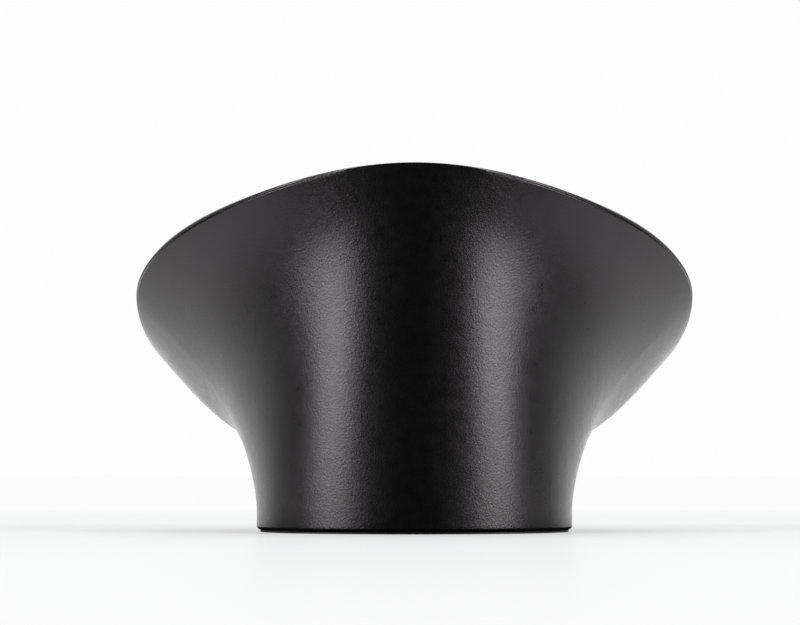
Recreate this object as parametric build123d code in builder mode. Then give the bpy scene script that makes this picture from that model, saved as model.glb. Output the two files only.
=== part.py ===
from build123d import *
from math import sin, cos, tan, radians, pi, sqrt
import os

# Hair dryer diffuser, standing on its coupling end.
# Origin: centre of the coupling's contact face, on the surface it stands on.
# +Z runs up the neck's axis, -Y is the straight spine side, and the mouth
# leans over towards +Y. Every length is in millimetres.

# ---- shell: neck and mouth -------------------------------------------------
NECK_R = 35.0          # outside radius of the round neck
NECK_TOP = 4.0         # the neck is a true cylinder up to here
WALL = 2.0             # moulded wall thickness
BASE_Z = 0.45          # underside of the shell's foot
FOOT_CHAMFER_W = 0.65  # chamfer round the foot, across
FOOT_CHAMFER_H = 0.55  # and up

MOUTH_TILT = 25.0      # lean of the mouth plane, degrees from level
CREST_Z = 78.51        # highest point of the mouth, above the spine
CREST_Y = -35.6
MOUTH_NEAR = 63.98     # in the mouth plane, crest to widest point
MOUTH_FAR = 55.0       # widest point to the low end
MOUTH_HALF = 64.06     # half the mouth's greatest width
PINCH_NEAR = 0.15      # pulls the crest half towards a point
PINCH_FAR = -0.38      # squares the low half a little

# Each meridian is one cubic curve from the neck to the mouth. These give its
# end angle to the mouth axis and its two tangent lengths at 0, 60, 120 and
# 180 degrees round from the spine.
FLARE = (25.0, 59.5, 33.0, 42.0)
TANGENT_MOUTH = (15.3, 22.6, 34.6, 30.0)
TANGENT_NECK = (77.4, 14.1, 22.4, 12.0)

ROUND = 40             # points round one section
LEVELS = (0.0, 0.09, 0.18, 0.27, 0.36, 0.45, 0.54, 0.63, 0.72, 0.81, 0.91, 1.0)

# ---- swivel coupling -------------------------------------------------------
SOCKET_R = 33.0        # the neck's inside, where the coupling turns
LEDGE_Z = 14.0         # underside of the ledge over the coupling
LEDGE_H = 2.0
LEDGE_R = 30.5         # air way through the ledge
NOZZLE_R = 25.5        # bore that goes over the dryer's outlet
COLLAR_R = 32.9        # running fit in the socket, 0.1 clearance
COLLAR_LOW_R = 32.2    # below the flange, inside the clip
COLLAR_Z0 = 0.9
FLANGE_Z = 3.6
COLLAR_TOP = 13.0
COLLAR_WALL = 1.4
WEB_Z0, WEB_Z1 = 4.4, 6.0
MAGNET_R, MAGNET_H, MAGNET_N, MAGNET_PITCH = 2.0, 2.5, 12, 28.85
GROOVE_IN, GROOVE_OUT = 26.7, 31.0
CLIP_Z0, CLIP_Z1 = 2.4, 3.5
CLIP_IN, CLIP_OUT = 32.35, 33.9
GASKET_IN, GASKET_OUT, GASKET_LIP = 26.2, 34.2, 0.35
WASHER_IN = 30.8
COLLAR_RIBS = 8

# ---- grille, fingers and deflector ----------------------------------------
GRILLE_DEPTH = 18.0    # front face of the grille below the mouth plane
GRILLE_T = 1.8
SEAL_W = 1.1
FINGER_R0, FINGER_R1 = 5.2, 3.9
FINGER_WALL = 1.0
FINGER_TOP = 4.6       # depth of the hard finger's end below the mouth plane
TIP_END = 1.2          # depth of the soft tip's end
FINGER_FLANGE_R, FINGER_FLANGE_T = 6.4, 1.0
INNER_RING, OUTER_RING = 15.8, 31.5
VENT_R, VENT_PITCH = 1.3, 4.4
BOSS_R, BOSS_PILOT, BOSS_LEN = 3.2, 1.0, 8.0
SCREW_R, SCREW_HEAD_R, SCREW_HEAD_H, SCREW_LEN = 1.0, 2.1, 1.4, 6.5
CONE_R, CONE_DEPTH, CONE_H, CONE_WALL = 17.0, 26.0, 11.0, 1.4
LEG_R, LEG_PITCH = 2.4, 9.12

os.makedirs("parts", exist_ok=True)

# ---- the shell's outer form -------------------------------------------------
TILT = radians(MOUTH_TILT)
AXIS = (0.0, sin(TILT), cos(TILT))          # out of the mouth
DOWN = (0.0, cos(TILT), -sin(TILT))         # down the mouth plane
WIDEST = (0.0, CREST_Y + MOUTH_NEAR * cos(TILT), CREST_Z - MOUTH_NEAR * sin(TILT))
MID_S = (MOUTH_FAR - MOUTH_NEAR) / 2
CENTRE = tuple(w + MID_S * d for w, d in zip(WIDEST, DOWN))


def dot(a, b):
    return a[0] * b[0] + a[1] * b[1] + a[2] * b[2]


def cross(a, b):
    return (a[1] * b[2] - a[2] * b[1], a[2] * b[0] - a[0] * b[2], a[0] * b[1] - a[1] * b[0])


def unit(a):
    n = sqrt(dot(a, a))
    return (a[0] / n, a[1] / n, a[2] / n)


def blend(a, b, s):
    return tuple(p + (q - p) * s for p, q in zip(a, b))


def even(values, v):
    """Smooth even function of v through its values at 0, 60, 120 and 180 degrees."""
    a, b, c, d = values
    c0 = (a + 2 * b + 2 * c + d) / 6
    c1 = (a + b - c - d) / 3
    c2 = (a - b - c + d) / 3
    c3 = (a - 2 * b + 2 * c - d) / 6
    return c0 + c1 * cos(v) + c2 * cos(2 * v) + c3 * cos(3 * v)


def mouth_edge(v):
    c = cos(v)
    near = c > 0
    k = PINCH_NEAR if near else PINCH_FAR
    b = MOUTH_NEAR if near else MOUTH_FAR
    s = -b * ((1 - k) * c + k * c**3)
    return (MOUTH_HALF * sin(v), WIDEST[1] + s * DOWN[1], WIDEST[2] + s * DOWN[2])


def mouth_normal(v):
    """Outward normal of the mouth's edge, in the mouth plane."""
    a, b = mouth_edge(v - 1e-4), mouth_edge(v + 1e-4)
    t = unit(tuple(q - p for p, q in zip(a, b)))
    n = cross(t, AXIS)
    out = tuple(p - q for p, q in zip(mouth_edge(v), WIDEST))
    return n if dot(n, out) > 0 else tuple(-x for x in n)


def meridian(v):
    """The four control points of the meridian at v round from the spine."""
    foot = (NECK_R * sin(v), -NECK_R * cos(v), NECK_TOP)
    top = mouth_edge(v)
    n = mouth_normal(v)
    f = radians(even(FLARE, v))
    m, k = even(TANGENT_MOUTH, v), even(TANGENT_NECK, v)
    lean = tuple(cos(f) * a + sin(f) * b for a, b in zip(AXIS, n))
    return (
        foot,
        (foot[0], foot[1], foot[2] + k),
        tuple(a - m * b for a, b in zip(top, lean)),
        top,
        lean,
    )


def along(poles, u):
    """Point on a meridian. Below 0 it is the straight neck, past 1 it runs on straight."""
    p0, p1, p2, p3, lean = poles
    if u < 0:
        return (p0[0], p0[1], p0[2] + 60 * u)
    if u > 1:
        return tuple(a + 60 * (u - 1) * b for a, b in zip(p3, lean))
    w = 1 - u
    return tuple(
        w**3 * a + 3 * u * w * w * b + 3 * u * u * w * c + u**3 * d
        for a, b, c, d in zip(p0, p1, p2, p3)
    )


MERIDIANS = [
    tuple(meridian(2 * pi * i / ROUND + e) for e in (0.0, 1e-4)) for i in range(ROUND)
]


def section(plane, inset):
    """The shell's section by a plane, inset by a wall measured square to the surface.
    Returned as points in the plane's own x and y."""
    o = (plane.origin.X, plane.origin.Y, plane.origin.Z)
    n = (plane.z_dir.X, plane.z_dir.Y, plane.z_dir.Z)
    ex = (plane.x_dir.X, plane.x_dir.Y, plane.x_dir.Z)
    ey = cross(n, ex)
    side = lambda p: dot(tuple(a - b for a, b in zip(p, o)), n)
    pts, normals = [], []
    for here, beside in MERIDIANS:
        lo, hi = -0.3, 1.4
        for _ in range(46):
            mid = (lo + hi) / 2
            if side(along(here, mid)) < 0:
                lo = mid
            else:
                hi = mid
        u = (lo + hi) / 2
        p = along(here, u)
        du = tuple(a - b for a, b in zip(along(here, u + 1e-5), p))
        dv = tuple(a - b for a, b in zip(along(beside, u), p))
        normals.append(unit(cross(dv, du)))
        pts.append(p)
    out = []
    for i, (p, m) in enumerate(zip(pts, normals)):
        a, b = pts[i - 1], pts[(i + 1) % ROUND]
        t = unit(tuple(q - r for q, r in zip(b, a)))
        f = cross(t, n)
        if dot(f, tuple(q - r for q, r in zip(p, (0, p[1] * 0 + CENTRE[1] * 0.6, p[2])))) < 0:
            f = tuple(-x for x in f)
        shift = inset / max(abs(dot(f, m)), 0.3)
        q = tuple(a - shift * b - c for a, b, c in zip(p, f, o))
        out.append((dot(q, ex), dot(q, ey)))
    return out


def ring(points):
    """Closed smooth curve through points, with evenly spaced parameters."""
    n = len(points)
    return Edge.make_spline(
        [Vector(x, y, 0) for x, y in points], periodic=True, parameters=[i / n for i in range(n + 1)]
    )


# Planes that fan out from one line parallel to X, where the mouth plane would
# meet the foot plane. The first is the foot, the last is the mouth.
FAN_Y = CREST_Y + (CREST_Z - BASE_Z) / tan(TILT)


def fan(share):
    a = TILT * share
    n = (0.0, sin(a), cos(a))
    return Plane(
        origin=(0, FAN_Y * (1 - cos(a)), BASE_Z + FAN_Y * sin(a)), x_dir=(1, 0, 0), z_dir=n
    )


def mouth_plane(depth):
    """Plane parallel to the mouth, this deep below it."""
    return Plane(
        origin=tuple(c - depth * a for c, a in zip(CENTRE, AXIS)), x_dir=(1, 0, 0), z_dir=AXIS
    )



# ---- tools that shape the shell ---------------------------------------------
with BuildPart() as outer_form:
    for share in LEVELS:
        with BuildSketch(fan(share)):
            with BuildLine():
                add(ring(section(fan(share), 0.0)))
            make_face()
    loft()

with BuildPart() as air_space:
    for share in LEVELS[1:] + (1.05,):
        with BuildSketch(fan(share)):
            with BuildLine():
                add(ring(section(fan(share), WALL)))
            make_face()
    loft()
    split(bisect_by=Plane.XY.offset(LEDGE_Z + LEDGE_H), keep=Keep.TOP)

GRILLE = mouth_plane(GRILLE_DEPTH + GRILLE_T)          # underside of the grille
FRONT = mouth_plane(GRILLE_DEPTH)                      # its front face
EDGE_LOW = section(GRILLE, WALL + 0.25)                # seal's outer edge, below
EDGE_TOP = section(FRONT, WALL + 0.25)                 # and above
EDGE_GRILLE = section(GRILLE, WALL + 0.25 + SEAL_W)    # the grille's own edge
MID_Y = (min(p[1] for p in EDGE_GRILLE) + max(p[1] for p in EDGE_GRILLE)) / 2
HALF_X = max(p[0] for p in EDGE_GRILLE)


def inside(x, y, margin):
    """True where a spot on the grille is this far inside its edge."""
    hit, n = False, len(EDGE_GRILLE)
    for i in range(n):
        (xa, ya), (xb, yb) = EDGE_GRILLE[i - 1], EDGE_GRILLE[i]
        if (ya > y) != (yb > y) and x < (xb - xa) * (y - ya) / (yb - ya) + xa:
            hit = not hit
        s = max(0, min(1, ((x - xa) * (xb - xa) + (y - ya) * (yb - ya)) / ((xb - xa) ** 2 + (yb - ya) ** 2)))
        if ((xa + s * (xb - xa) - x) ** 2 + (ya + s * (yb - ya) - y) ** 2) < margin**2:
            return False
    return hit


def circle_of(r, n, start=0.0, y0=0.0):
    return [
        (r * sin(radians(start + 360 / n * i)), y0 - r * cos(radians(start + 360 / n * i)))
        for i in range(n)
    ]


FINGERS = [(0.0, MID_Y)] + circle_of(INNER_RING, 6, 0, MID_Y) + circle_of(OUTER_RING, 10, 0, MID_Y)
CONE_Y = MID_Y - 1.0
LEGS = circle_of(LEG_PITCH, 3, 30, MID_Y)
SCREWS = []
for a in (54, 126, 234, 306):
    r = 20.0
    while inside(r * sin(radians(a)), MID_Y - r * cos(radians(a)), BOSS_R + 0.6):
        r += 0.1
    SCREWS.append((r * sin(radians(a)), MID_Y - r * cos(radians(a))))

with BuildPart() as bosses:
    with BuildSketch(GRILLE):
        with Locations(*SCREWS):
            Circle(BOSS_R)
    extrude(amount=-BOSS_LEN)
    add(outer_form.part, mode=Mode.INTERSECT)

# ---- outer shell --------------------------------------------------------------
with BuildPart() as outer_shell:
    add(outer_form.part)
    add(air_space.part, mode=Mode.SUBTRACT)
    add(bosses.part)
    with BuildSketch(GRILLE):
        with Locations(*SCREWS):
            Circle(BOSS_PILOT)
    extrude(amount=-BOSS_LEN + 1.6, mode=Mode.SUBTRACT)
    # Neck seen in section from the axis outwards: air way, socket, clip groove.
    with BuildSketch(Plane.XZ):
        with BuildLine():
            Polyline(
                (0, BASE_Z - 1),
                (SOCKET_R, BASE_Z - 1),
                (SOCKET_R, CLIP_Z0),
                (CLIP_OUT, CLIP_Z0),
                (CLIP_OUT, CLIP_Z1),
                (SOCKET_R, CLIP_Z1),
                (SOCKET_R, LEDGE_Z),
                (LEDGE_R, LEDGE_Z),
                (LEDGE_R, LEDGE_Z + LEDGE_H + 1),
                (0, LEDGE_Z + LEDGE_H + 1),
                close=True,
            )
        make_face()
    revolve(axis=Axis.Z, mode=Mode.SUBTRACT)
    with BuildSketch(Plane.XZ):
        with BuildLine():
            Polyline(
                (NECK_R - FOOT_CHAMFER_W, BASE_Z),
                (NECK_R, BASE_Z + FOOT_CHAMFER_H),
                (NECK_R + 1, BASE_Z + FOOT_CHAMFER_H),
                (NECK_R + 1, BASE_Z - 1),
                (NECK_R - FOOT_CHAMFER_W, BASE_Z - 1),
                close=True,
            )
        make_face()
    revolve(axis=Axis.Z, mode=Mode.SUBTRACT)

# ---- grille ---------------------------------------------------------------------
TAKEN = [(p, FINGER_R0 + 0.1) for p in FINGERS]
TAKEN += [(p, SCREW_HEAD_R) for p in SCREWS] + [(p, LEG_R) for p in LEGS]
VENTS = []
for row in range(-13, 14):
    for col in range(-12, 13):
        x = (col + 0.5 * (row % 2)) * VENT_PITCH
        y = MID_Y + row * VENT_PITCH * 0.866
        if not inside(x, y, VENT_R + 1.2):
            continue
        if all((x - p[0]) ** 2 + (y - p[1]) ** 2 > (VENT_R + r + 0.7) ** 2 for p, r in TAKEN):
            VENTS.append((x, y))

with BuildPart() as front_grille:
    with BuildSketch(GRILLE):
        with BuildLine():
            add(ring(EDGE_GRILLE))
        make_face()
        with Locations(*FINGERS):
            Circle(FINGER_R0 + 0.1, mode=Mode.SUBTRACT)
        with Locations(*(SCREWS + LEGS)):
            Circle(SCREW_R + 0.25, mode=Mode.SUBTRACT)
        with Locations(*VENTS):
            Circle(VENT_R, mode=Mode.SUBTRACT)
    extrude(amount=GRILLE_T)

with BuildPart() as grille_seal:
    with BuildSketch(GRILLE):
        with BuildLine():
            add(ring(EDGE_LOW))
        make_face()
    with BuildSketch(FRONT):
        with BuildLine():
            add(ring(EDGE_TOP))
        make_face()
    loft(ruled=True)
    with BuildSketch(GRILLE.offset(-1)):
        with BuildLine():
            add(ring(EDGE_GRILLE))
        make_face()
    extrude(amount=GRILLE_T + 2, mode=Mode.SUBTRACT)

# ---- hollow air fingers, each plugged through the grille from behind -------------
FINGER_H = GRILLE_DEPTH - FINGER_TOP
with BuildPart() as one_finger:
    with BuildSketch(Plane.XZ):
        with BuildLine():
            Polyline(
                (FINGER_R0 - FINGER_WALL, -GRILLE_T - FINGER_FLANGE_T),
                (FINGER_FLANGE_R, -GRILLE_T - FINGER_FLANGE_T),
                (FINGER_FLANGE_R, -GRILLE_T),
                (FINGER_R0, -GRILLE_T),
                (FINGER_R0, 0),
                (FINGER_R1, FINGER_H - 2.2),
                (FINGER_R1 - 0.7, FINGER_H - 2.2),
                (FINGER_R1 - 0.7, FINGER_H),
                (FINGER_R1 - 0.7 - FINGER_WALL, FINGER_H),
                (FINGER_R1 - 0.7 - FINGER_WALL, FINGER_H - 2.2 - FINGER_WALL),
                (FINGER_R0 - FINGER_WALL, 0),
                close=True,
            )
        make_face()
    revolve(axis=Axis.Z)
    with BuildSketch(Plane.XZ) as slot_sketch:
        with Locations((0, FINGER_H * 0.42)):
            SlotOverall(6.0, 1.6, rotation=90)
    extrude(amount=FINGER_R0 + 1, both=True, mode=Mode.SUBTRACT)
    with BuildSketch(Plane.YZ):
        with Locations((0, FINGER_H * 0.42)):
            SlotOverall(6.0, 1.6, rotation=90)
    extrude(amount=FINGER_R0 + 1, both=True, mode=Mode.SUBTRACT)

TIP_H = FINGER_TOP - TIP_END
with BuildPart() as one_tip:
    with BuildSketch(Plane.XZ):
        with BuildLine():
            Polyline((1.1, FINGER_H + 0.02), (FINGER_R1 - 0.68, FINGER_H + 0.02), (FINGER_R1 - 0.68, FINGER_H - 2.18), (FINGER_R1, FINGER_H - 2.18), (FINGER_R1, FINGER_H))
            Spline(
                (FINGER_R1, FINGER_H),
                (FINGER_R1 * 0.8, FINGER_H + TIP_H * 0.66),
                (1.1, FINGER_H + TIP_H),
                tangents=((0, 1), (-1, -0.05)),
            )
            Line((1.1, FINGER_H + TIP_H), (1.1, FINGER_H + 0.02))
        make_face()
    revolve(axis=Axis.Z)

with BuildPart() as air_fingers:
    with Locations(FRONT):
        with Locations(*FINGERS):
            add(one_finger.part)

with BuildPart() as finger_tips:
    with Locations(FRONT):
        with Locations(*FINGERS):
            add(one_tip.part)

# ---- deflector that spreads the air behind the grille ------------------------------
LEG_LEN = CONE_DEPTH - GRILLE_DEPTH - GRILLE_T
with BuildPart() as deflector:
    with BuildSketch(Plane.XZ):
        with BuildLine():
            Polyline((0, 0), (CONE_R, 0), (CONE_R, -1.0))
            Spline((CONE_R, -1.0), (CONE_R * 0.5, -CONE_H * 0.52), (0, -CONE_H), tangents=((-1, -0.25), (-1, -0.55)))
            Line((0, -CONE_H), (0, 0))
        make_face()
    revolve(axis=Axis.Z)
    with BuildSketch(Plane.XZ):
        with BuildLine():
            Polyline((0, -CONE_WALL), (CONE_R - CONE_WALL * 2.4, -CONE_WALL), (CONE_R * 0.48, -CONE_H * 0.52 + 1.0), (0, -CONE_H + CONE_WALL * 1.6), close=True)
        make_face()
    revolve(axis=Axis.Z, mode=Mode.SUBTRACT)
    with BuildSketch(Plane.XY):
        with Locations(*circle_of(LEG_PITCH, 3, 30)):
            Circle(LEG_R)
    extrude(amount=LEG_LEN)
    with BuildSketch(Plane.XY.offset(LEG_LEN)):
        with Locations(*circle_of(LEG_PITCH, 3, 30)):
            Circle(BOSS_PILOT)
    extrude(amount=-LEG_LEN + 0.4, mode=Mode.SUBTRACT)

with BuildPart() as air_deflector:
    with Locations(mouth_plane(CONE_DEPTH)):
        with Locations((0, MID_Y)):
            add(deflector.part)

# ---- pan head screws ------------------------------------------------------------------
with BuildPart() as one_screw:
    with BuildSketch(Plane.XZ):
        with BuildLine():
            Polyline(
                (0, -SCREW_LEN),
                (0.4, -SCREW_LEN),
                (SCREW_R, -SCREW_LEN + 1.2),
                (SCREW_R, 0),
                (SCREW_HEAD_R, 0),
                (SCREW_HEAD_R, SCREW_HEAD_H * 0.45),
                (SCREW_HEAD_R * 0.72, SCREW_HEAD_H),
                (0, SCREW_HEAD_H),
                close=True,
            )
        make_face()
    revolve(axis=Axis.Z)
    with BuildSketch(Plane.XY.offset(SCREW_HEAD_H)):
        Rectangle(2.4, 0.5)
        Rectangle(0.5, 2.4)
    extrude(amount=-0.8, mode=Mode.SUBTRACT)

with BuildPart() as grille_screws:
    with Locations(FRONT):
        with Locations(*SCREWS):
            add(one_screw.part)

with BuildPart() as deflector_screws:
    with Locations(FRONT):
        with Locations(*LEGS):
            add(one_screw.part)

# ---- swivel coupling ---------------------------------------------------------------------
with BuildPart() as coupling_ring:
    with BuildSketch(Plane.XZ):
        with BuildLine():
            Polyline(
                (NOZZLE_R, COLLAR_Z0),
                (GROOVE_IN, COLLAR_Z0),
                (GROOVE_IN, WEB_Z0),
                (GROOVE_OUT, WEB_Z0),
                (GROOVE_OUT, COLLAR_Z0),
                (COLLAR_LOW_R, COLLAR_Z0),
                (COLLAR_LOW_R, FLANGE_Z),
                (COLLAR_R, FLANGE_Z),
                (COLLAR_R, COLLAR_TOP),
                (COLLAR_R - COLLAR_WALL, COLLAR_TOP),
                (COLLAR_R - COLLAR_WALL, WEB_Z1),
                (NOZZLE_R + COLLAR_WALL, WEB_Z1),
                (NOZZLE_R + COLLAR_WALL, COLLAR_TOP),
                (NOZZLE_R, COLLAR_TOP),
                close=True,
            )
        make_face()
    revolve(axis=Axis.Z)
    with BuildSketch(Plane.XY.offset(WEB_Z1 - 0.5)):
        with PolarLocations((NOZZLE_R + COLLAR_R) / 2, COLLAR_RIBS):
            Rectangle(COLLAR_R - NOZZLE_R - COLLAR_WALL, 1.2)
    extrude(amount=COLLAR_TOP - WEB_Z1 - 0.7)

with BuildPart() as magnet_carrier:
    with BuildSketch(Plane.XY.offset(COLLAR_Z0)):
        Circle(GROOVE_OUT - 0.05)
        Circle(GROOVE_IN + 0.05, mode=Mode.SUBTRACT)
        with PolarLocations(MAGNET_PITCH, MAGNET_N):
            Circle(MAGNET_R + 0.03, mode=Mode.SUBTRACT)
    extrude(amount=MAGNET_H)

with BuildPart() as magnets:
    with BuildSketch(Plane.XY.offset(COLLAR_Z0)):
        with PolarLocations(MAGNET_PITCH, MAGNET_N):
            Circle(MAGNET_R)
    extrude(amount=MAGNET_H)

with BuildPart() as magnet_backing:
    with BuildSketch(Plane.XY.offset(COLLAR_Z0 + MAGNET_H)):
        Circle(GROOVE_OUT - 0.05)
        Circle(GROOVE_IN + 0.05, mode=Mode.SUBTRACT)
    extrude(amount=WEB_Z0 - COLLAR_Z0 - MAGNET_H)

with BuildPart() as contact_gasket:
    with BuildSketch(Plane.XZ):
        with BuildLine():
            Polyline(
                (GASKET_IN, 0),
                (GASKET_OUT, 0),
                (GASKET_OUT, GASKET_LIP),
                (COLLAR_LOW_R, GASKET_LIP),
                (COLLAR_LOW_R, COLLAR_Z0),
                (GASKET_IN, COLLAR_Z0),
                close=True,
            )
        make_face()
    revolve(axis=Axis.Z)

with BuildPart() as glide_washer:
    with BuildSketch(Plane.XY.offset(COLLAR_TOP)):
        Circle(COLLAR_R)
        Circle(WASHER_IN, mode=Mode.SUBTRACT)
    extrude(amount=LEDGE_Z - COLLAR_TOP - 0.1)

# Open spring clip that holds the coupling up in its socket.
with BuildPart() as retaining_clip:
    with BuildSketch(Plane.XY.offset(CLIP_Z0)):
        Circle(CLIP_OUT)
        Circle(CLIP_IN, mode=Mode.SUBTRACT)
        with Locations((0, (CLIP_IN + CLIP_OUT) / 2)):
            Rectangle(9.0, 4.0, mode=Mode.SUBTRACT)
    extrude(amount=CLIP_Z1 - CLIP_Z0)

PIECES = {
    "outer_shell": outer_shell,
    "front_grille": front_grille,
    "grille_seal": grille_seal,
    "air_fingers": air_fingers,
    "finger_tips": finger_tips,
    "air_deflector": air_deflector,
    "grille_screws": grille_screws,
    "deflector_screws": deflector_screws,
    "retaining_clip": retaining_clip,
    "coupling_ring": coupling_ring,
    "magnet_carrier": magnet_carrier,
    "magnets": magnets,
    "magnet_backing": magnet_backing,
    "contact_gasket": contact_gasket,
    "glide_washer": glide_washer,
}
for name, piece in PIECES.items():
    piece.part.label = name
    export_step(piece.part, f"parts/{name}.step")

print("grille half width", round(HALF_X, 2), "middle", round(MID_Y, 2), "vents", len(VENTS))
print("screws", [(round(x, 1), round(y, 1)) for x, y in SCREWS])
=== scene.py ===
from math import atan, cos, pi, radians, sin

import bpy
import numpy as np
from mathutils import Matrix, Vector


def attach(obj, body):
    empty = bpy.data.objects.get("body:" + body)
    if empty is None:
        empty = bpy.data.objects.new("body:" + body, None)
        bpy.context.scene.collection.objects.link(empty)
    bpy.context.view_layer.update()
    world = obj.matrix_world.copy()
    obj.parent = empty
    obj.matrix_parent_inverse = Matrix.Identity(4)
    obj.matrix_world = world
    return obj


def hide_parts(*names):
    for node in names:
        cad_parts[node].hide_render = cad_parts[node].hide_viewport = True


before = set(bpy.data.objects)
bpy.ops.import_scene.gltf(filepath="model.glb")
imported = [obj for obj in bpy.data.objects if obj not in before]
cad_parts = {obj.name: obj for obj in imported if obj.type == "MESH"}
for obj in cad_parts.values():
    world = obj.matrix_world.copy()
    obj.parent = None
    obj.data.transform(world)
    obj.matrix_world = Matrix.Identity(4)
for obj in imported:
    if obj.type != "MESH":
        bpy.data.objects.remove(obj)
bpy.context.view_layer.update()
scene = bpy.context.scene

# ---------------------------------------------------------------------------
# The shell's form, in millimetres, as the CAD has it.
# ---------------------------------------------------------------------------
NECK_R, NECK_TOP, WALL = 35.0, 4.0, 2.0
BASE_Z, CHAMFER_W, CHAMFER_H = 0.45, 0.65, 0.55
TILT = radians(25.0)
CREST_Y, CREST_Z = -35.6, 78.51
M_NEAR, M_FAR, M_HALF = 63.98, 55.0, 64.36
PINCH_NEAR, PINCH_FAR = 0.15, -0.38
FLARE = (25.0, 59.5, 33.0, 42.0)
T_MOUTH = (15.3, 22.6, 34.6, 30.0)
T_NECK = (77.4, 14.1, 22.4, 12.0)
SOCKET_R, LEDGE_Z, LEDGE_TOP, LEDGE_R = 33.0, 14.0, 16.0, 30.5
CLIP_Z0, CLIP_Z1, CLIP_OUT = 2.4, 3.5, 33.9

AXIS = np.array([0.0, sin(TILT), cos(TILT)])
DOWN = np.array([0.0, cos(TILT), -sin(TILT)])
WIDEST = np.array([0.0, CREST_Y + M_NEAR * cos(TILT), CREST_Z - M_NEAR * sin(TILT)])
CENTRE = WIDEST + (M_FAR - M_NEAR) / 2 * DOWN


def even(values, v):
    a, b, c, d = values
    return (
        (a + 2 * b + 2 * c + d) / 6
        + (a + b - c - d) / 3 * np.cos(v)
        + (a - b - c + d) / 3 * np.cos(2 * v)
        + (a - 2 * b + 2 * c - d) / 6 * np.cos(3 * v)
    )


def mouth_edge(v):
    c = np.cos(v)
    k = np.where(c > 0, PINCH_NEAR, PINCH_FAR)
    b = np.where(c > 0, M_NEAR, M_FAR)
    s = -b * ((1 - k) * c + k * c**3)
    p = WIDEST + s[..., None] * DOWN
    p[..., 0] = M_HALF * np.sin(v)
    w = np.abs((v + pi) % (2 * pi) - pi)
    p[..., 2] += 0.45 * np.exp(-((w / 0.30) ** 2)) - 0.45 * np.exp(-(((w - 0.62) / 0.28) ** 2))
    return p


def poles(v):
    top = mouth_edge(v)
    t = mouth_edge(v + 1e-4) - mouth_edge(v - 1e-4)
    t /= np.linalg.norm(t, axis=-1, keepdims=True)
    n = np.cross(t, AXIS)
    n *= np.sign(np.sum(n * (top - WIDEST), -1, keepdims=True))
    f = np.radians(even(FLARE, v))[..., None]
    lean = np.cos(f) * AXIS + np.sin(f) * n
    foot = np.stack([NECK_R * np.sin(v), -NECK_R * np.cos(v), np.full_like(v, NECK_TOP)], -1)
    up = np.zeros_like(foot)
    up[..., 2] = even(T_NECK, v)
    return foot, foot + up, top - even(T_MOUTH, v)[..., None] * lean, top, lean


def surface(u, v):
    """Points and outward normals of the shell's outside."""

    def at(u, v):
        p0, p1, p2, p3, lean = poles(v)
        w = u[..., None]
        q = (1 - w) ** 3 * p0 + 3 * w * (1 - w) ** 2 * p1 + 3 * w * w * (1 - w) * p2 + w**3 * p3
        low = p0.copy()
        low[..., 2] += 60 * u
        return np.where(w < 0, low, q)

    e = 1e-4
    p = at(u, v)
    du = at(u + e, v) - at(u - e, v)
    dv = at(u, v + e) - at(u, v - e)
    n = np.cross(dv, du)
    n /= np.linalg.norm(n, axis=-1, keepdims=True)
    return p, n, du / np.linalg.norm(du, axis=-1, keepdims=True)


# ---------------------------------------------------------------------------
# Mesh helpers
# ---------------------------------------------------------------------------
def mesh_object(name, verts, faces, sharp=35.0):
    me = bpy.data.meshes.new(name)
    me.from_pydata([tuple(map(float, p)) for p in verts], [], [tuple(map(int, f)) for f in faces])
    me.validate()
    me.update()
    me.shade_smooth()
    me.set_sharp_from_angle(angle=radians(sharp))
    ob = bpy.data.objects.new(name, me)
    scene.collection.objects.link(ob)
    return ob


def ring_grid(rows, closed_rows=True):
    """Quads between rings of points. rows: (n rings, m points, 3)."""
    n, m = rows.shape[:2]
    verts = rows.reshape(-1, 3)
    faces = []
    last = n if closed_rows else n - 1
    j = np.arange(m)
    k = (j + 1) % m
    for i in range(last):
        a, b = i * m, ((i + 1) % n) * m
        faces.append(np.stack([a + j, a + k, b + k, b + j], -1))
    return verts, np.concatenate(faces)


# ---------------------------------------------------------------------------
# Outer shell: one closed skin, foot to lip outside, lip to socket inside.
# ---------------------------------------------------------------------------
NV = 336
v = np.linspace(0, 2 * pi, NV, endpoint=False)
c, s = np.sin(v), -np.cos(v)


def circle(r, z):
    return np.stack([r * c, r * s, np.full_like(v, z)], -1)


rows = []
# foot, with small rounds on both edges of its chamfer
for r, z in (
    (33.0, BASE_Z + 0.12),
    (33.04, BASE_Z + 0.04),
    (33.12, BASE_Z),
    (33.7, BASE_Z),
    (34.25, BASE_Z),
    (34.33, BASE_Z + 0.012),
    (34.40, BASE_Z + 0.06),
    (34.62, BASE_Z + 0.245),
    (34.90, BASE_Z + 0.48),
    (34.965, BASE_Z + 0.555),
    (34.995, BASE_Z + 0.65),
    (35.0, BASE_Z + 0.78),
    (35.0, 1.9),
    (35.0, 3.0),
):
    rows.append(circle(r, z))
# outside
for u in np.linspace(0, 1, 150) ** 0.96:
    if u > 0.980:
        continue
    rows.append(surface(np.full_like(v, u), v)[0])
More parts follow.
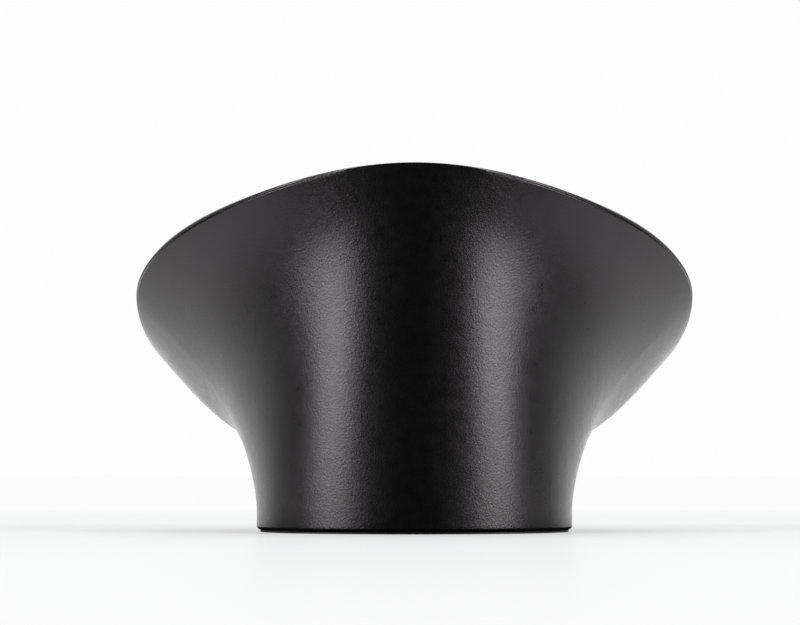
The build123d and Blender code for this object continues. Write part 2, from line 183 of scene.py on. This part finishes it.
# lip: a bevel outside, a step up to the end of the wall, a small round inside
edge, n_edge, t_edge = surface(np.full_like(v, 0.9999), v)
LIP_IN = 0.35
turned = np.clip((np.abs((v + pi) % (2 * pi) - pi) - 0.15) / 0.30, 0, 1)
step = (0.2 + 0.8 * turned**2 * (3 - 2 * turned))[:, None]
for back, drop in (
    (0.0, 0.74),
    (0.008, 0.70),
    (0.04, 0.655),
    (0.26, 0.435),
    (0.30, 0.408),
    (0.36, 0.40),
    (0.58, 0.40),
    (0.64, 0.38),
    (0.66, 0.34),
    (0.66, 0.10),
    (0.68, 0.04),
    (0.74, 0.0),
    (1.0, 0.0),
):
    rows.append(edge - back * n_edge - drop * step * t_edge)
for a in np.linspace(0, pi / 2, 6):
    q = edge - LIP_IN * t_edge - (WALL - LIP_IN) * n_edge
    rows.append(q + LIP_IN * (-np.sin(a) * n_edge + np.cos(a) * t_edge))


def inner(u):
    p, n, _ = surface(u, v)
    return p - WALL * n


lo, hi = np.zeros_like(v), np.ones_like(v)
for _ in range(40):
    mid = (lo + hi) / 2
    below = inner(mid)[..., 2] < LEDGE_TOP + 0.3
    lo, hi = np.where(below, mid, lo), np.where(below, hi, mid)
U_LOW = (lo + hi) / 2
for w in np.linspace(0, 1, 90):
    u = 0.985 + (U_LOW - 0.985) * w
    rows.append(inner(u))
wall_low = inner(U_LOW)
# ledge over the coupling, then the socket and the clip's groove
mouth_low = wall_low.copy()
mouth_low[..., 2] = LEDGE_TOP
mouth_low[..., :2] *= 0.992
rows.append(mouth_low)
for r, z in (
    (31.2, LEDGE_TOP),
    (30.75, LEDGE_TOP - 0.02),
    (30.56, LEDGE_TOP - 0.12),
    (30.5, LEDGE_TOP - 0.3),
    (30.5, LEDGE_Z),
    (31.5, LEDGE_Z),
    (33.0, LEDGE_Z),
    (33.0, 9.0),
    (33.0, CLIP_Z1),
    (CLIP_OUT, CLIP_Z1),
    (CLIP_OUT, CLIP_Z0),
    (33.0, CLIP_Z0),
    (33.0, 1.4),
):
    rows.append(circle(r, z))
verts, faces = ring_grid(np.array(rows) * 0.001)
verts, faces = list(verts), list(faces[:, ::-1])


def across(p):
    """World millimetres to (x, down the mouth, depth under the mouth)."""
    q = p - WIDEST
    return np.stack([q[..., 0], q @ DOWN, -(q @ AXIS)], -1)


# the four screw bosses standing off the inside of the wall, under the grille
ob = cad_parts["grille_screws"]
screw = across(np.array([tuple(ob.matrix_world @ q.co) for q in ob.data.vertices]) * 1000)
mid_y = (screw[:, 1].min() + screw[:, 1].max()) / 2
spots = []
for sx in (-1, 1):
    for sy in (-1, 1):
        q = screw[(screw[:, 0] * sx > 0) & ((screw[:, 1] - mid_y) * sy > 0), :2]
        spots.append((q.min(0) + q.max(0)) / 2)
hub = np.mean(spots, 0)
wall = []
for u in np.linspace(0.98, 0.05, 60):
    p, n, _ = surface(np.full_like(v, u), v)
    wall.append(across(p - 0.5 * WALL * n))
wall = np.array(wall)
BOSS_TOP, BOSS_LEN, BOSS_R, BOSS_N = 19.8, 8.0, 3.2, 32
for cx, cy in spots:
    start = len(verts)
    for depth in np.linspace(BOSS_TOP, BOSS_TOP + BOSS_LEN, 9):
        lim = np.array([[np.interp(depth, wall[:, j, 2], wall[:, j, k]) for k in (0, 1)] for j in range(NV)]) - hub
        turn, reach = np.arctan2(lim[:, 1], lim[:, 0]), np.linalg.norm(lim, axis=1)
        for t in np.linspace(0, 2 * pi, BOSS_N, endpoint=False):
            q = np.array([cx + BOSS_R * cos(t), cy + BOSS_R * sin(t)]) - hub
            far = np.linalg.norm(q)
            q = hub + q / far * min(far, np.interp(np.arctan2(q[1], q[0]), turn, reach, period=2 * pi))
            p = WIDEST + q[0] * np.array([1.0, 0, 0]) + q[1] * DOWN - depth * AXIS
            verts.append(p * 0.001)
    for i in range(8):
        for j in range(BOSS_N):
            a, b = start + i * BOSS_N, start + (i + 1) * BOSS_N
            k = (j + 1) % BOSS_N
            faces.append((a + j, b + j, b + k, a + k))
    faces.append(tuple(start + j for j in range(BOSS_N)))
    faces.append(tuple(start + 8 * BOSS_N + j for j in reversed(range(BOSS_N))))
shell = mesh_object("shell_skin", verts, faces, 28)
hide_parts("outer_shell")
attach(shell, "head")

# ---------------------------------------------------------------------------
# Materials
# ---------------------------------------------------------------------------
def new_material(name):
    m = bpy.data.materials.new(name)
    m.use_nodes = True
    nt = m.node_tree
    nt.nodes.clear()
    out = nt.nodes.new("ShaderNodeOutputMaterial")
    bsdf = nt.nodes.new("ShaderNodeBsdfPrincipled")
    nt.links.new(bsdf.outputs[0], out.inputs[0])
    return m, nt, bsdf


def noise(nt, coord, scale, detail=2.0, rough=0.5):
    n = nt.nodes.new("ShaderNodeTexNoise")
    n.inputs["Scale"].default_value = scale
    n.inputs["Detail"].default_value = detail
    n.inputs["Roughness"].default_value = rough
    nt.links.new(coord, n.inputs["Vector"])
    return n.outputs["Fac"]


def ramp(nt, fac, stops):
    r = nt.nodes.new("ShaderNodeValToRGB")
    el = r.color_ramp.elements
    el[0].position, el[0].color = stops[0][0], (*stops[0][1], 1)
    el[1].position, el[1].color = stops[-1][0], (*stops[-1][1], 1)
    for p, col in stops[1:-1]:
        e = el.new(p)
        e.color = (*col, 1)
    nt.links.new(fac, r.inputs["Fac"])
    return r.outputs["Color"]


def span(nt, fac, a, b, lo, hi):
    m = nt.nodes.new("ShaderNodeMapRange")
    m.inputs["From Min"].default_value = a
    m.inputs["From Max"].default_value = b
    m.inputs["To Min"].default_value = lo
    m.inputs["To Max"].default_value = hi
    nt.links.new(fac, m.inputs["Value"])
    return m.outputs["Result"]


def bump(nt, height, strength, distance, normal=None):
    b = nt.nodes.new("ShaderNodeBump")
    b.inputs["Strength"].default_value = strength
    b.inputs["Distance"].default_value = distance
    nt.links.new(height, b.inputs["Height"])
    if normal is not None:
        nt.links.new(normal, b.inputs["Normal"])
    return b.outputs["Normal"]


def plastic(name, dark, light, rough, grain, grain_mm, spread=0.04, spec=0.5, sheen=0.0):
    """Moulded plastic: fine sparked grain, slow colour and gloss drift."""
    m, nt, b = new_material(name)
    co = nt.nodes.new("ShaderNodeTexCoord").outputs["Object"]
    slow = noise(nt, co, 60.0, 3.0, 0.55)
    nt.links.new(ramp(nt, slow, [(0.3, dark), (0.7, light)]), b.inputs["Base Color"])
    mid = noise(nt, co, 420.0, 4.0, 0.6)
    nt.links.new(span(nt, mid, 0.3, 0.7, rough - spread, rough + spread), b.inputs["Roughness"])
    fine = noise(nt, co, 1000.0 / grain_mm, 3.0, 0.65)
    b.inputs["Specular IOR Level"].default_value = spec
    b.inputs["Specular Tint"].default_value = (1.0, 0.93, 0.98, 1)
    if sheen:
        b.inputs["Sheen Weight"].default_value = sheen
        b.inputs["Sheen Roughness"].default_value = 0.5
    nt.links.new(bump(nt, fine, grain, 0.00012 * grain_mm), b.inputs["Normal"])
    return m


def metal(name, color, rough, scale=900.0, grain=0.1, stretch=None):
    m, nt, b = new_material(name)
    co = nt.nodes.new("ShaderNodeTexCoord").outputs["Object"]
    if stretch:
        mp = nt.nodes.new("ShaderNodeMapping")
        mp.inputs["Scale"].default_value = stretch
        nt.links.new(co, mp.inputs["Vector"])
        co = mp.outputs["Vector"]
    b.inputs["Metallic"].default_value = 1.0
    slow = noise(nt, co, 200.0, 4.0, 0.6)
    d = tuple(x * 0.86 for x in color)
    nt.links.new(ramp(nt, slow, [(0.3, d), (0.7, color)]), b.inputs["Base Color"])
    f = noise(nt, co, scale, 4.0, 0.6)
    nt.links.new(span(nt, f, 0.3, 0.7, rough - 0.06, rough + 0.08), b.inputs["Roughness"])
    nt.links.new(bump(nt, f, grain, 0.00001), b.inputs["Normal"])
    return m


SHELL = plastic("shell_black", (0.0010, 0.0010, 0.0012), (0.0019, 0.0019, 0.0021), 0.30, 0.7, 0.50, 0.03)
INNER = plastic("inner_black", (0.015, 0.015, 0.016), (0.021, 0.021, 0.022), 0.42, 0.35, 0.30)
COLLAR = plastic("collar_black", (0.012, 0.012, 0.0125), (0.017, 0.017, 0.0175), 0.36, 0.3, 0.26)
SOFT = plastic("soft_black", (0.008, 0.008, 0.008), (0.012, 0.012, 0.012), 0.62, 0.4, 0.20, 0.05, 0.4, 0.05)
TIPS = plastic("tip_silicone", (0.024, 0.024, 0.026), (0.034, 0.034, 0.036), 0.56, 0.3, 0.22, 0.05, 0.45, 0.10)
WASHER = plastic("washer_white", (0.72, 0.72, 0.70), (0.80, 0.80, 0.78), 0.5, 0.2, 0.3)
SCREW = metal("screw_steel", (0.46, 0.46, 0.47), 0.32)
SPRING = metal("spring_steel", (0.36, 0.36, 0.37), 0.34)
NICKEL = metal("magnet_nickel", (0.70, 0.68, 0.64), 0.18)
STEEL = metal("plain_steel", (0.50, 0.50, 0.51), 0.38)

shell.data.materials.append(SHELL)
BY_NODE = {
    "front_grille": INNER,
    "grille_seal": SOFT,
    "air_fingers": INNER,
    "finger_tips": TIPS,
    "air_deflector": INNER,
    "grille_screws": SCREW,
    "deflector_screws": SCREW,
    "retaining_clip": SPRING,
    "coupling_ring": COLLAR,
    "magnet_carrier": INNER,
    "magnets": NICKEL,
    "magnet_backing": STEEL,
    "contact_gasket": SOFT,
    "glide_washer": WASHER,
}
for node, mat in BY_NODE.items():
    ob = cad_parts[node]
    for slot_ in ob.material_slots:
        slot_.material = mat
    if not ob.material_slots:
        ob.data.materials.append(mat)

# ---------------------------------------------------------------------------
# Floor, light and camera
# ---------------------------------------------------------------------------
def floor():
    w = 6.0
    me = bpy.data.meshes.new("floor")
    me.from_pydata([(-w, -w, 0), (w, -w, 0), (w, w * 3, 0), (-w, w * 3, 0)], [], [(0, 1, 2, 3)])
    ob = bpy.data.objects.new("floor", me)
    scene.collection.objects.link(ob)
    m = bpy.data.materials.new("floor_white")
    m.use_nodes = True
    nt = m.node_tree
    nt.nodes.clear()
    out = nt.nodes.new("ShaderNodeOutputMaterial")
    place = nt.nodes.new("ShaderNodeTexCoord").outputs["Object"]

    def glow(strength):
        e = nt.nodes.new("ShaderNodeEmission")
        e.inputs["Strength"].default_value = strength
        return e

    def blend(fac, one, two):
        x = nt.nodes.new("ShaderNodeMixShader")
        nt.links.new(fac, x.inputs[0])
        nt.links.new(one.outputs[0], x.inputs[1])
        nt.links.new(two.outputs[0], x.inputs[2])
        return x

    def smooth(value, a, b):
        r = nt.nodes.new("ShaderNodeMapRange")
        r.interpolation_type = "SMOOTHSTEP"
        r.inputs["From Min"].default_value = a
        r.inputs["From Max"].default_value = b
        nt.links.new(value, r.inputs["Value"])
        return r.outputs["Result"]

    # what the lens sees: white, with a real soft shadow from its diffuse part and a painted shadow that darkens
    # its glow towards the foot
    d = nt.nodes.new("ShaderNodeBsdfDiffuse")
    d.inputs["Color"].default_value = (0.198, 0.201, 0.206, 1)
    gloss = nt.nodes.new("ShaderNodeBsdfGlossy")
    gloss.inputs["Color"].default_value = (0.075, 0.075, 0.073, 1)
    gloss.inputs["Roughness"].default_value = 0.16
    far = nt.nodes.new("ShaderNodeVectorMath")
    far.operation = "LENGTH"
    nt.links.new(place, far.inputs[0])

    def math(kind, value, b, c=None):
        x = nt.nodes.new("ShaderNodeMath")
        x.operation = kind
        nt.links.new(value, x.inputs[0])
        x.inputs[1].default_value = b
        if c is not None:
            x.inputs[2].default_value = c
        return x.outputs[0]

    # painted shadow: the floor's own glow is made darker under the bowl, towards the foot
    painted_shade = math("MULTIPLY_ADD", math("MAXIMUM", far.outputs["Value"], 0.034), -1 / 0.022, 0.035 / 0.022)
    painted_shade = math("EXPONENT", painted_shade, 0.0)
    own = glow(0.60)
    nt.links.new(math("MULTIPLY_ADD", painted_shade, -0.13, 0.585), own.inputs["Strength"])
    add = nt.nodes.new("ShaderNodeAddShader")
    nt.links.new(d.outputs[0], add.inputs[0])
    nt.links.new(own.outputs[0], add.inputs[1])
    add2 = nt.nodes.new("ShaderNodeAddShader")
    nt.links.new(add.outputs[0], add2.inputs[0])
    nt.links.new(gloss.outputs[0], add2.inputs[1])
    add = add2
    seen = blend(smooth(far.outputs["Value"], 0.12, 0.55), add, glow(0.97))
    # what the object sees: black straight ahead, white beside and behind it
    sep = nt.nodes.new("ShaderNodeSeparateXYZ")
    nt.links.new(place, sep.inputs[0])
    side = nt.nodes.new("ShaderNodeMath")
    side.operation = "DIVIDE"
    nt.links.new(math("ABSOLUTE", sep.outputs["X"], 0.0), side.inputs[0])
    nt.links.new(far.outputs["Value"], side.inputs[1])
    near = blend(smooth(far.outputs["Value"], 0.16, 0.35), glow(1.18), glow(0.012))
    # painted shadow: the floor the object sees is dark close round the foot, so the foot's chamfer reflects shade
    near = blend(smooth(far.outputs["Value"], 0.042, 0.080), glow(0.012), near)
    front = blend(smooth(side.outputs[0], 0.20, 0.90), glow(0.012), near)
    felt = blend(smooth(sep.outputs["Y"], 0.02, 0.35), front, glow(1.8))
    lens = nt.nodes.new("ShaderNodeLightPath").outputs["Is Camera Ray"]
    nt.links.new(blend(lens, felt, seen).outputs[0], out.inputs[0])
    me.materials.append(m)
    return ob


floor()


def softbox(name, at, aim, size, size_y, power):
    li = bpy.data.lights.new(name, "AREA")
    li.shape = "RECTANGLE"
    li.size, li.size_y = size, size_y
    li.energy = power
    ob = bpy.data.objects.new(name, li)
    ob.location = at
    ob.rotation_euler = (Vector(aim) - Vector(at)).to_track_quat("-Z", "Y").to_euler()
    ob.visible_camera = False
    scene.collection.objects.link(ob)
    return ob


R = 0.95
for side in (-1, 1):
    a = radians(62.0)
    softbox(
        f"strip_{'L' if side < 0 else 'R'}",
        (side * R * sin(a), -R * cos(a), 0.47),
        (0, 0, 0.12),
        0.50,
        0.90,
        13.6,
    )
softbox("top", (0, 0.90, 1.30), (0, 0.05, 0.05), 0.9, 0.9, 9.0)

world = bpy.data.worlds.new("studio")
scene.world = world
world.use_nodes = True
nt = world.node_tree
nt.nodes.clear()
out = nt.nodes.new("ShaderNodeOutputWorld")
seen = nt.nodes.new("ShaderNodeBackground")
seen.inputs["Color"].default_value = (1, 1, 1, 1)
seen.inputs["Strength"].default_value = 0.985
env = nt.nodes.new("ShaderNodeBackground")
gen = nt.nodes.new("ShaderNodeTexCoord").outputs["Generated"]
sep = nt.nodes.new("ShaderNodeSeparateXYZ")
nt.links.new(gen, sep.inputs[0])
m = nt.nodes.new("ShaderNodeMapRange")
m.interpolation_type = "SMOOTHSTEP"
m.inputs["From Min"].default_value = 0.45
m.inputs["From Max"].default_value = 0.80
m.inputs["To Min"].default_value = 0.01
m.inputs["To Max"].default_value = 1.4
nt.links.new(sep.outputs["Y"], m.inputs["Value"])
nt.links.new(m.outputs["Result"], env.inputs["Strength"])
mix = nt.nodes.new("ShaderNodeMixShader")
lp = nt.nodes.new("ShaderNodeLightPath")
nt.links.new(lp.outputs["Is Camera Ray"], mix.inputs[0])
nt.links.new(env.outputs[0], mix.inputs[1])
nt.links.new(seen.outputs[0], mix.inputs[2])
nt.links.new(mix.outputs[0], out.inputs[0])

cam_data = bpy.data.cameras.new("camera")
cam_data.sensor_width = 36.0
cam_data.lens = 141.4
cam_data.clip_start, cam_data.clip_end = 0.05, 60.0
cam_data.shift_x = -14.45 / 800
cam = bpy.data.objects.new("camera", cam_data)
scene.collection.objects.link(cam)
cam.location = (0, -0.700, 0.0129)
cam.rotation_euler = (pi / 2 + atan(160.9 / 3142), 0, 0)
scene.camera = cam
scene.view_settings.view_transform = "Standard"
